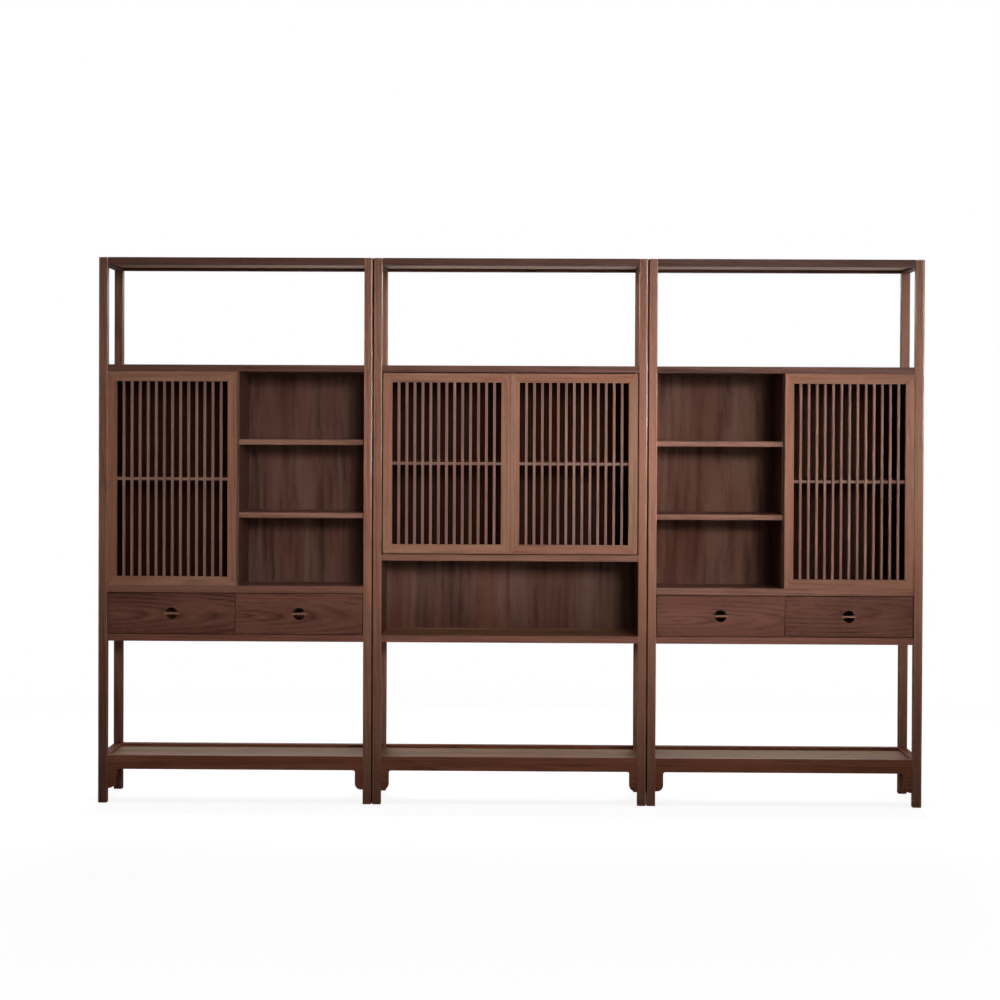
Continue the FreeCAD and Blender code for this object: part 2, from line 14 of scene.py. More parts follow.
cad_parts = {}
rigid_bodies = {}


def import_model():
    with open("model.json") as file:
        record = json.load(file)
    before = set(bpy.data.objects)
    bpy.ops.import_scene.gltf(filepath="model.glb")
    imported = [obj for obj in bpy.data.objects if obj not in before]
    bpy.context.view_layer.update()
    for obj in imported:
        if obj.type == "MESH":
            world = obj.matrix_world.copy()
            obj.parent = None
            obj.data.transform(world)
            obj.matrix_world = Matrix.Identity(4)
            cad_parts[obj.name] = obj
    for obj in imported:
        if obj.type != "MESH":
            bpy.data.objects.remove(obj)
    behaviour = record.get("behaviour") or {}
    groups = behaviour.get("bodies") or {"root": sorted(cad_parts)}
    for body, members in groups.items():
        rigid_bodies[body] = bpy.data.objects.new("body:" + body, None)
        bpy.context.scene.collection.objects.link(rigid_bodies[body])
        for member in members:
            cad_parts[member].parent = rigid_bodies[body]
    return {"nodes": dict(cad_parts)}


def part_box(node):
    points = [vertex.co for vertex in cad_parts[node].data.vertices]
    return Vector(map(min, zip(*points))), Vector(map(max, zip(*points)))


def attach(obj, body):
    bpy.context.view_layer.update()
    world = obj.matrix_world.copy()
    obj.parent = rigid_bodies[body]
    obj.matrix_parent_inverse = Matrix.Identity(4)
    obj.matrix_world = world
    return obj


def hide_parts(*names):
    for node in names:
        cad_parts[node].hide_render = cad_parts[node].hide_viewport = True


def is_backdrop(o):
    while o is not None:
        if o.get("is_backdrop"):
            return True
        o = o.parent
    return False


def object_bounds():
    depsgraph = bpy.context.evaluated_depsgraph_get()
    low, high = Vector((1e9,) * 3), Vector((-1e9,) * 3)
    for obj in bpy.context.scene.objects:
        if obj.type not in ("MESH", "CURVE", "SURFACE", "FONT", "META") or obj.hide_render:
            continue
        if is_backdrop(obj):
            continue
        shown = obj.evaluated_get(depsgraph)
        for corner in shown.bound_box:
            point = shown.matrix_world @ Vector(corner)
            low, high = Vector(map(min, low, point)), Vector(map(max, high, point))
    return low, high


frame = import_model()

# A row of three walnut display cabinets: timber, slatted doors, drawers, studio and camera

LOG = logging.getLogger("cabinet")
Colour = tuple[float, float, float]
Place = tuple[float, float, float]
Corners = tuple[Vector, Vector]
Tones = tuple[float, ...]
Shade = tuple[float, float, float, float]
Piece = bpy.types.Object
Socket = bpy.types.NodeSocket
Value = Union[Socket, float, Sequence[float]]

# The fixed body, and the names under which values are stored on a mesh
CARCASS = "carcass"
SPACE = "grain_space"
SEED = "board_seed"
EDGE = "edge_strip"
# The last name marks faces that take painted shade: a darker, redder colour inside the cases and in the seams
# between posts
SHADE_LAYER = "shut_in"

# Distances in metres that count as none, digits to round places to, and the usual softened edge
CLOSE = 1e-5
TINY = 1e-6
MERGE_DIGITS = 5
ORDER_DIGITS = 4
EASE = 0.0012

# How dark each post and each drawer front is, from 0 to 1. The post values are partly the timber's own tone
# and partly painted light and shade: the left unit's posts darker where less light reaches, the back posts
# darker or lighter by how they are lit.
POST_TONES_AND_SHADE = {"left": (1.0, 1.0, 0.45, 0.5), "centre": (0.6, 0.5, 0.1, 0.2), "right": (0.25, 0.2, 0.5, 0.2)}
DRAWER_TONES = (0.8, 0.55, 0.1, 0.7)


class Axis(Enum):
    """The way that a board's grain runs; LONGEST follows its length."""

    X = 0
    Y = 1
    Z = 2
    LONGEST = 3


class Side(Enum):
    """The side on which a door meets its neighbour, or on which a partition stands."""

    NEITHER = 0
    LEFT = 1
    RIGHT = 2


@dataclass(frozen=True)
class Stretch:
    """How often a pattern repeats in a metre along the grain and across it, and how fine it is."""

    along: float
    across: float
    detail: float


@dataclass(frozen=True)
class Span:
    """A range of values, and the results at its two ends."""

    low: float
    high: float
    out_low: float = 0.0
    out_high: float = 1.0


def linear(red: float, green: float, blue: float) -> Shade:
    """Turn a display colour into the light values that a shader takes.

    Args:
        red: Red from 0 to 255.
        green: Green from 0 to 255.
        blue: Blue from 0 to 255.

    Returns:
        The colour in linear light, with full alpha.
    """
    def one(level: float) -> float:
        """Turn one display level into linear light."""
        share = level / 255.0
        return share / 12.92 if share <= 0.04045 else ((share + 0.055) / 1.055) ** 2.4

    return one(red), one(green), one(blue), 1.0


def scaled(colour: Colour, factors: Colour) -> Shade:
    """Scale each level of a display colour and turn it into linear light.

    Args:
        colour: Red, green and blue from 0 to 255.
        factors: A factor for each.

    Returns:
        The scaled colour in linear light, with full alpha.
    """
    return linear(*(min(255.0, level * factor) for level, factor in zip(colour, factors)))


class Graph:
    """A small helper that adds and links the nodes of one tree."""

    def __init__(self, tree: bpy.types.NodeTree) -> None:
        """Keep the tree that nodes go into."""
        self.tree = tree

    def feed(self, value: Value, socket: Socket) -> None:
        """Link a socket into another, or set a plain value on it.

        Args:
            value: A socket, a number or a colour.
            socket: The socket that takes it.
        """
        if isinstance(value, bpy.types.NodeSocket):
            self.tree.links.new(value, socket)
        else:
            socket.default_value = value

    def add(self, kind: str, inputs: Mapping[Union[int, str], Value], **settings: object) -> Sequence[Socket]:
        """Add a node, set its properties and feed its inputs.

        Args:
            kind: The node's type name.
            inputs: Values for its inputs, by number or name.
            settings: Property names and values.

        Returns:
            The node's outputs.
        """
        node = self.tree.nodes.new(kind)
        for name, value in settings.items():
            setattr(node, name, value)
        for key, value in inputs.items():
            self.feed(value, node.inputs[key])
        return node.outputs

    def stored(self, name: str, output: str) -> Socket:
        """Read a value that is stored on the mesh."""
        return self.add("ShaderNodeAttribute", {}, attribute_name=name)[output]

    def math(self, operation: str, *values: Value) -> Socket:
        """Add one arithmetic step on up to three values and return its result."""
        return self.add("ShaderNodeMath", dict(enumerate(values)), operation=operation)[0]

    def span(self, value: Value, span: Span) -> Socket:
        """Map a value from one range to another, held at both ends."""
        ends = (value, span.low, span.high, span.out_low, span.out_high)
        return self.add("ShaderNodeMapRange", dict(enumerate(ends)))[0]

    def blend(self, share: Value, first: Value, second: Value) -> Socket:
        """Mix two colours, with a share of the second."""
        return self.add("ShaderNodeMix", {0: share, 6: first, 7: second}, data_type="RGBA")[2]

    def vector(self, parts: Sequence[Value]) -> Socket:
        """Join three values into a vector."""
        return self.add("ShaderNodeCombineXYZ", dict(enumerate(parts)))[0]

    def split(self, value: Socket) -> Sequence[Socket]:
        """Split a vector into its three values."""
        return self.add("ShaderNodeSeparateXYZ", {0: value})

    def noise(self, place: Socket, detail: float, scale: float = 1.0) -> Socket:
        """Read a noise pattern with some finer layers at a place."""
        return self.add("ShaderNodeTexNoise", {"Vector": place, "Scale": scale, "Detail": detail})[0]

    def bump(self, height: Socket, strength: float, distance: float) -> Socket:
        """Turn a height into a surface normal."""
        return self.add("ShaderNodeBump", {"Strength": strength, "Distance": distance, "Height": height})[0]

    def stretched(self, place: Sequence[Value], stretch: Stretch, moved: Sequence[Value]) -> Socket:
        """Stretch a place for a pattern that runs with the grain, and move it.

        Args:
            place: Distances along the grain, across it and into the board.
            stretch: How often the pattern repeats.
            moved: How far each of the three is moved.

        Returns:
            The new place's vector socket.
        """
        factors = (stretch.along, stretch.across, stretch.across)
        return self.vector([self.math("MULTIPLY_ADD", *item) for item in zip(place, factors, moved)])


# Ranges and shares by which the timbers are mixed

NOISE_RANGE = (0.3, 0.7)
DRIFT_RANGE = (0.38, 0.6)
FIBRE_RANGE = (0.25, 0.75)
RING_RISE = Span(0.0, 0.72)
RING_FALL = Span(0.72, 1.0, 1.0, 0.0)
RING_FADE = Span(0.36, 0.62, 0.15, 1.0)
PORE_SPAN = Span(0.6, 0.72)
# Patches along the pale edges, which are partly worn timber and partly painted highlight
WEAR_HIGHLIGHT_PATCH = Span(0.35, 0.65, 0.35, 1.0)
FIBRE_SHARE = Span(0.3, 0.7, -0.16, 0.22)
WARM = (1.3, 0.98, 0.86)
DEEPEST = (0.55, 0.55, 0.55)
# Factors for the pale edges' colour: worn timber and painted highlight
PALEST = (1.18, 1.18, 1.18)
# Factors that turn a timber's dark colour into its painted shade colour
PAINTED_SHADE_TINT = (0.65, 0.4, 0.3)


class TimberGroups:
    """The node groups that every timber shares, each built once."""

    sway: Stretch = Stretch(2.6, 9.0, 3.0)
    fibre: Stretch = Stretch(5.0, 230.0, 4.0)
    pores: Stretch = Stretch(55.0, 900.0, 1.0)
    clouds: Stretch = Stretch(1.7, 16.0, 2.0)
    drift: Stretch = Stretch(1.1, 10.0, 1.0)
    seed_step: float = 37.0
    sway_steps: tuple[float, float] = (19.0, 23.0)
    cloud_step: float = 31.0
    drift_step: float = 41.0
    fade_scale: float = 2.3
    fade_detail: float = 2.0
    # Size and detail of the patches along the pale edges
    rub_scale: float = 14.0
    rub_detail: float = 3.0

    def __init__(self) -> None:
        """Build the figure group and the edge group."""
        self.figure = self.build_figure()
        self.edges = self.build_edges()

    @staticmethod
    def new_group(name: str, inputs: Mapping[str, str], outputs: Sequence[str]) -> tuple[
            bpy.types.NodeTree, Graph, Sequence[Socket], Sequence[Socket]]:
        """Start a shader node group with named sockets.

        Args:
            name: The group's name.
            inputs: Each input's name and socket type.
            outputs: Names of the value outputs.

        Returns:
            The tree, its helper, the sockets that come in and those that go out.
        """
        tree = bpy.data.node_groups.new(name, "ShaderNodeTree")
        for label, kind in inputs.items():
            tree.interface.new_socket(label, in_out="INPUT", socket_type=kind)
        for label in outputs:
            tree.interface.new_socket(label, in_out="OUTPUT", socket_type="NodeSocketFloat")
        graph = Graph(tree)
        return tree, graph, graph.add("NodeGroupInput", {}), tree.nodes.new("NodeGroupOutput").inputs

    def build_figure(self) -> bpy.types.NodeTree:
        """Build growth rings, fibre, pores and clouds in a board's own space.

        Returns:
            The node group.
        """
        inputs = {"Space": "NodeSocketVector", "Seed": "NodeSocketVector"}
        for label in ("Ring Width", "Heart Depth", "Heart Aside", "Taper", "Wobble"):
            inputs[label] = "NodeSocketFloat"
        outputs = ["Rings", "Fibre", "Pores", "Cloud", "Drift"]
        tree, graph, given, out = self.new_group("walnut_figure", inputs, outputs)
        along, across, deep = graph.split(given["Space"])
        one, two, three = graph.split(given["Seed"])
        drift = graph.math("MULTIPLY", one, self.seed_step)
        aside_step, deep_step = self.sway_steps
        moved = (drift, graph.math("MULTIPLY", two, aside_step), graph.math("MULTIPLY", three, deep_step))
        slow = graph.stretched((along, across, deep), self.sway, moved)
        sway = graph.math("SUBTRACT", graph.noise(slow, self.sway.detail), 0.5)
        sway = graph.math("MULTIPLY", sway, given["Wobble"])
        aside = graph.math("MULTIPLY", graph.math("SUBTRACT", two, 0.5), given["Heart Aside"])
        wide = graph.math("ADD", graph.math("ADD", across, aside), sway)
        depth = graph.math("MULTIPLY", given["Heart Depth"], graph.math("ADD", three, 0.5))
        tilt = graph.math("MULTIPLY", along, given["Taper"])
        down = graph.math("ADD", graph.math("ADD", deep, depth), graph.math("ADD", tilt, sway))
        square = graph.math("ADD", graph.math("MULTIPLY", wide, wide), graph.math("MULTIPLY", down, down))
        turns = graph.math("DIVIDE", graph.math("SQRT", square), given["Ring Width"])
        phase = graph.math("FRACT", graph.math("ADD", turns, drift))
        early = graph.span(phase, RING_RISE)
        late = graph.span(phase, RING_FALL)
        rings = graph.math("MULTIPLY", graph.math("MULTIPLY", early, early), late)
        fade = graph.span(graph.noise(slow, self.fade_detail, self.fade_scale), RING_FADE)
        graph.feed(graph.math("MULTIPLY", rings, fade), out["Rings"])
        fine = graph.stretched((along, wide, down), self.fibre, (drift, 0.0, 0.0))
        graph.feed(graph.noise(fine, self.fibre.detail), out["Fibre"])
        dash = graph.stretched((along, wide, down), self.pores, (drift, 0.0, 0.0))
        graph.feed(graph.span(graph.noise(dash, self.pores.detail), PORE_SPAN), out["Pores"])
        below = graph.math("MULTIPLY", two, self.cloud_step)
        cloud = graph.stretched((along, across, deep), self.clouds, (drift, 0.0, below))
        graph.feed(graph.noise(cloud, self.clouds.detail), out["Cloud"])
        ahead = graph.math("MULTIPLY", three, self.drift_step)
        broad = graph.stretched((along, across, deep), self.drift, (ahead, drift, 0.0))
        graph.feed(graph.noise(broad, self.drift.detail), out["Drift"])
        return tree

    def build_edges(self) -> bpy.types.NodeTree:
        """Build the pale look of softened edges: partly worn timber, partly painted highlight.

        Returns:
            The node group.
        """
        inputs = {"Strip": "NodeSocketFloat", "Space": "NodeSocketVector", "Amount": "NodeSocketFloat"}
        tree, graph, given, out = self.new_group("rubbed_edges", inputs, ["Rubbed"])
        patch = graph.span(graph.noise(given["Space"], self.rub_detail, self.rub_scale), WEAR_HIGHLIGHT_PATCH)
        wear_and_highlight = graph.math("MULTIPLY", given["Strip"], patch)
        graph.feed(graph.math("MULTIPLY", wear_and_highlight, given["Amount"]), out["Rubbed"])
        return tree


@dataclass(frozen=True)
class TimberFinish:
    """An oiled timber: its colours, its figure and its sheen."""

    name: str
    slot: str
    light: Colour
    dark: Colour
    ring_width: float = 0.007
    heart_depth: float = 0.05
    heart_aside: float = 0.12
    taper: float = 0.02
    wobble: float = 0.012
    contrast: float = 0.5
    cloud: float = 0.28
    warmth: float = 0.3
    tone: float = 0.26
    rough: float = 0.42
    gloss: float = 0.1
    # How pale softened edges are: worn timber, and painted highlight where it is raised
    rub: float = 0.3
    polish: float = 0.0
    polish_rough: float = 0.12
    base_share: float = 0.12
    pore_share: float = 0.4
    # Share of the painted shade colour that marked faces take
    kept_share: float = 0.95
    rough_less: float = 0.06
    rough_more: float = 0.08
    pore_rough: float = 0.15
    # Extra roughness on faces with painted shade
    shut_rough: float = 0.35
    pore_height: float = -0.6
    fibre_height: float = 0.5
    bump_share: float = 0.25
    bump_height: float = 0.0006
    index: float = 1.45

    def mix_colour(self, graph: Graph, figure: Sequence[Socket], tone: Socket, wear_and_highlight: Socket,
                   shade_mask: Socket) -> Socket:
        """Mix the timber's colour.

        Args:
            graph: The material's nodes.
            figure: The figure group's outputs.
            tone: How dark the board is, from 0 to 1.
            wear_and_highlight: Where edges are pale, partly from worn timber and partly as painted highlight.
            shade_mask: Where faces take painted shade, a darker, redder colour inside the cases and in the
                seams.

        Returns:
            The colour's socket.
        """
        share = graph.math("MULTIPLY_ADD", figure["Rings"], self.contrast, self.base_share)
        share = graph.math("ADD", share, graph.span(figure["Fibre"], FIBRE_SHARE))
        clouds = Span(*NOISE_RANGE, -self.cloud / 2, self.cloud / 2)
        share = graph.math("ADD", share, graph.span(figure["Cloud"], clouds))
        tones = Span(0.0, 1.0, -self.tone / 2, self.tone / 2)
        share = graph.math("ADD", share, graph.span(tone, tones))
        share = graph.math("MAXIMUM", graph.math("MINIMUM", share, 1.0), 0.0)
        colour = graph.blend(share, linear(*self.light), linear(*self.dark))
        warm = graph.span(figure["Drift"], Span(*DRIFT_RANGE, 0.0, self.warmth))
        colour = graph.blend(warm, colour, scaled(self.dark, WARM))
        pores = graph.math("MULTIPLY", figure["Pores"], self.pore_share)
        colour = graph.blend(pores, colour, scaled(self.dark, DEEPEST))
        # Pale softened edges: partly worn timber, partly painted highlight
        colour = graph.blend(wear_and_highlight, colour, scaled(self.light, PALEST))
        # Painted shade: faces inside the cases and in the seams take a darker, redder colour
        kept = graph.math("MULTIPLY", shade_mask, self.kept_share)
        return graph.blend(kept, colour, scaled(self.dark, PAINTED_SHADE_TINT))

    def material(self, groups: TimberGroups) -> bpy.types.Material:
        """Make the material, or return it if it exists.

        Args:
            groups: The shared timber node groups.

        Returns:
            The material.
        """
        made = bpy.data.materials.get(self.name)
        if made is not None:
            return made
        made = bpy.data.materials.new(self.name)
        made.use_nodes = True
        graph = Graph(made.node_tree)
        shader = made.node_tree.nodes["Principled BSDF"]
        space = graph.stored(SPACE, "Vector")
        seed = graph.stored(SEED, "Vector")
        strip = graph.stored(EDGE, "Fac")
        # Where faces take painted shade
        shade_mask = graph.stored(SHADE_LAYER, "Fac")
        sizes = {"Space": space, "Seed": seed, "Ring Width": self.ring_width, "Heart Depth": self.heart_depth,
                 "Heart Aside": self.heart_aside, "Taper": self.taper, "Wobble": self.wobble}
        figure = graph.add("ShaderNodeGroup", sizes, node_tree=groups.figure)
        # Pale edges: worn timber, and painted highlight where the amount is raised
        wear_highlight_inputs = {"Strip": strip, "Space": space, "Amount": self.rub}
        wear_and_highlight = graph.add("ShaderNodeGroup", wear_highlight_inputs, node_tree=groups.edges)[0]
        colour = self.mix_colour(graph, figure, graph.split(seed)[0], wear_and_highlight, shade_mask)
        graph.feed(colour, shader.inputs["Base Color"])
        fibre = figure["Fibre"]
        sheen = Span(*FIBRE_RANGE, self.rough - self.rough_less, self.rough + self.rough_more)
        rough = graph.math("MULTIPLY_ADD", figure["Pores"], self.pore_rough, graph.span(fibre, sheen))
        # Faces with painted shade are rougher as well
        graph.feed(graph.math("MULTIPLY_ADD", shade_mask, self.shut_rough, rough), shader.inputs["Roughness"])
        height = graph.math("MULTIPLY", fibre, self.fibre_height)
        height = graph.math("MULTIPLY_ADD", figure["Pores"], self.pore_height, height)
        graph.feed(graph.bump(height, self.bump_share, self.bump_height), shader.inputs["Normal"])
        shader.inputs["Specular IOR Level"].default_value = self.gloss
        shader.inputs["IOR"].default_value = self.index
        if self.polish > 0.0:
            polished = graph.math("MULTIPLY", strip, graph.math("SUBTRACT", 1.0, shade_mask))
            graph.feed(graph.math("MULTIPLY", polished, self.polish), shader.inputs["Coat Weight"])
            shader.inputs["Coat Roughness"].default_value = self.polish_rough
        return made


@dataclass(frozen=True)
class MetalFinish:
    """A turned or pressed metal with fine tool marks."""

    name: str
    colour: Colour
    rough: float = 0.35
    rough_less: float = 0.1
    rough_more: float = 0.15
    duller: Colour = (0.7, 0.7, 0.7)
    dull_share: float = 0.5
    stain_scale: float = 90.0
    stain_detail: float = 3.0
    mark_scales: Place = (60.0, 60.0, 2200.0)
    mark_detail: float = 2.0
    mark_share: float = 0.15
    mark_height: float = 0.0003

    def material(self) -> bpy.types.Material:
        """Make the metal material.

        Returns:
            The material.
        """
        made = bpy.data.materials.new(self.name)
        made.use_nodes = True
        graph = Graph(made.node_tree)
        shader = made.node_tree.nodes["Principled BSDF"]
        place = graph.add("ShaderNodeTexCoord", {})["Object"]
        parts = zip(graph.split(place), self.mark_scales)
        lines = graph.vector([graph.math("MULTIPLY", part, scale) for part, scale in parts])
        marks = graph.noise(lines, self.mark_detail)
        stains = graph.noise(place, self.stain_detail, self.stain_scale)
        tint = graph.span(stains, Span(*NOISE_RANGE, 0.0, self.dull_share))
        colour = graph.blend(tint, linear(*self.colour), scaled(self.colour, self.duller))
        graph.feed(colour, shader.inputs["Base Color"])
        sheen = Span(*NOISE_RANGE, self.rough - self.rough_less, self.rough + self.rough_more)
        graph.feed(graph.span(marks, sheen), shader.inputs["Roughness"])
        shader.inputs["Metallic"].default_value = 1.0
        graph.feed(graph.bump(marks, self.mark_share, self.mark_height), shader.inputs["Normal"])
        return made


# The posts' edges are made much paler than wear alone, as painted highlight along their rounded corners
POST_WALNUT = TimberFinish("oiled_post", "frame_walnut", (163, 115, 92), (90, 56, 43), ring_width=0.014,
                           contrast=0.32, tone=0.7, rub=0.65, polish=1.0)
# The top rails take a slightly darker copy of the rail timber, as painted shade along the top of the row
SHADED_TOP_RAIL_WALNUT = TimberFinish("oiled_top_rail", "frame_walnut", (112, 78, 67), (64, 41, 35),
                               ring_width=0.008)
RAIL_WALNUT = TimberFinish("oiled_rail", "frame_walnut", (118, 80, 67), (66, 41, 33), ring_width=0.008)
LOW_RAIL_WALNUT = TimberFinish("oiled_low_rail", "frame_walnut", (171, 106, 80), (98, 58, 43),
                               ring_width=0.008)
DECK_WALNUT = TimberFinish("oiled_deck", "frame_walnut", (154, 111, 92), (92, 59, 47), ring_width=0.009)
BASE_WALNUT = TimberFinish("oiled_base", "frame_walnut", (160, 107, 90), (90, 57, 45), ring_width=0.009)
DOOR_WALNUT = TimberFinish("oiled_door", "door_walnut", (162, 117, 94), (109, 72, 54), ring_width=0.012,
                           contrast=0.36)
SLAT_WALNUT = TimberFinish("oiled_slat", "slat_walnut", (152, 118, 104), (102, 75, 65), ring_width=0.006)
PANEL_WALNUT = TimberFinish("oiled_panel", "panel_walnut", (136, 100, 84), (78, 52, 42), ring_width=0.03,
                            heart_depth=0.08, heart_aside=0.5, taper=0.05, wobble=0.06, contrast=0.45,
                            cloud=1.0, warmth=0.45)
SHELF_WALNUT = TimberFinish("oiled_shelf", "panel_walnut", (152, 109, 91), (90, 58, 47), ring_width=0.012,
                            heart_aside=0.2, taper=0.03, wobble=0.02)
# The flat panels' pale colour is partly their own and partly painted light, standing in for the sheen on the
# low shelf's top
FLAT_WALNUT = TimberFinish("oiled_flat", "panel_walnut", (186, 146, 110), (100, 70, 52), ring_width=0.016,
                           heart_aside=0.2, taper=0.03, wobble=0.03, contrast=0.45, cloud=0.4, tone=0.6,
                           rough=0.6)
DRAWER_WALNUT = TimberFinish("oiled_drawer", "drawer_walnut", (133, 85, 69), (63, 38, 30), ring_width=0.015,
                             heart_depth=0.03, heart_aside=0.05, taper=0.12, wobble=0.025, contrast=0.6,
                             tone=0.4)
PULL_WALNUT = TimberFinish("oiled_pull", "pull_walnut", (168, 124, 102), (108, 72, 56), ring_width=0.004)
LINING_WOOD = TimberFinish("pale_lining", "lining_wood", (174, 126, 96), (126, 86, 63), ring_width=0.006,
                           contrast=0.3, tone=0.2, rough=0.55, rub=0.1)
BRASS = MetalFinish("turned_brass", (120, 94, 56), 0.45)
CATCH_METAL = MetalFinish("catch_metal", (70, 68, 66), 0.45)


def groups_of_points(edges: np.ndarray, count: int) -> np.ndarray:
    """Label the separate bodies of a mesh.

    Args:
        edges: Pairs of linked points.
        count: Number of points.

    Returns:
        One label for each point.
    """
    label = np.arange(count)
    while True:
        low = np.minimum(label[edges[:, 0]], label[edges[:, 1]])
        fresh = label.copy()
        np.minimum.at(fresh, edges[:, 0], low)
        np.minimum.at(fresh, edges[:, 1], low)
        fresh = fresh[fresh]
        if np.array_equal(fresh, label):
            return label
        label = fresh


def solid_boxes(node: str) -> list[Corners]:
    """Find the box of each separate solid in a node of the frame.

    Args:
        node: The node's name.

    Returns:
        The lowest and highest corner of each solid, from left to right.
    """
    mesh = frame["nodes"][node].data
    points = np.array([vertex.co for vertex in mesh.vertices])
    _, same = np.unique(np.round(points, MERGE_DIGITS), axis=0, return_inverse=True)
    same = same.reshape(-1)
    sides: dict[tuple[int, int], list[int]] = {}
    for face in mesh.polygons:
        ring = [int(same[corner]) for corner in face.vertices]
        for first, second in zip(ring, ring[1:] + ring[:1]):
            sides.setdefault((min(first, second), max(first, second)), []).append(face.index)
    links = np.array([pair for pair in sides.values() if len(pair) == 2])
    labels = groups_of_points(links, len(mesh.polygons))
    boxes = []
    for label in np.unique(labels):
        faces = np.flatnonzero(labels == label)
        part = points[[corner for face in faces for corner in mesh.polygons[int(face)].vertices]]
        boxes.append((Vector(part.min(0)), Vector(part.max(0))))
    return sorted(boxes, key=lambda pair: [round(pair[0][axis], ORDER_DIGITS) for axis in (0, 2, 1)])


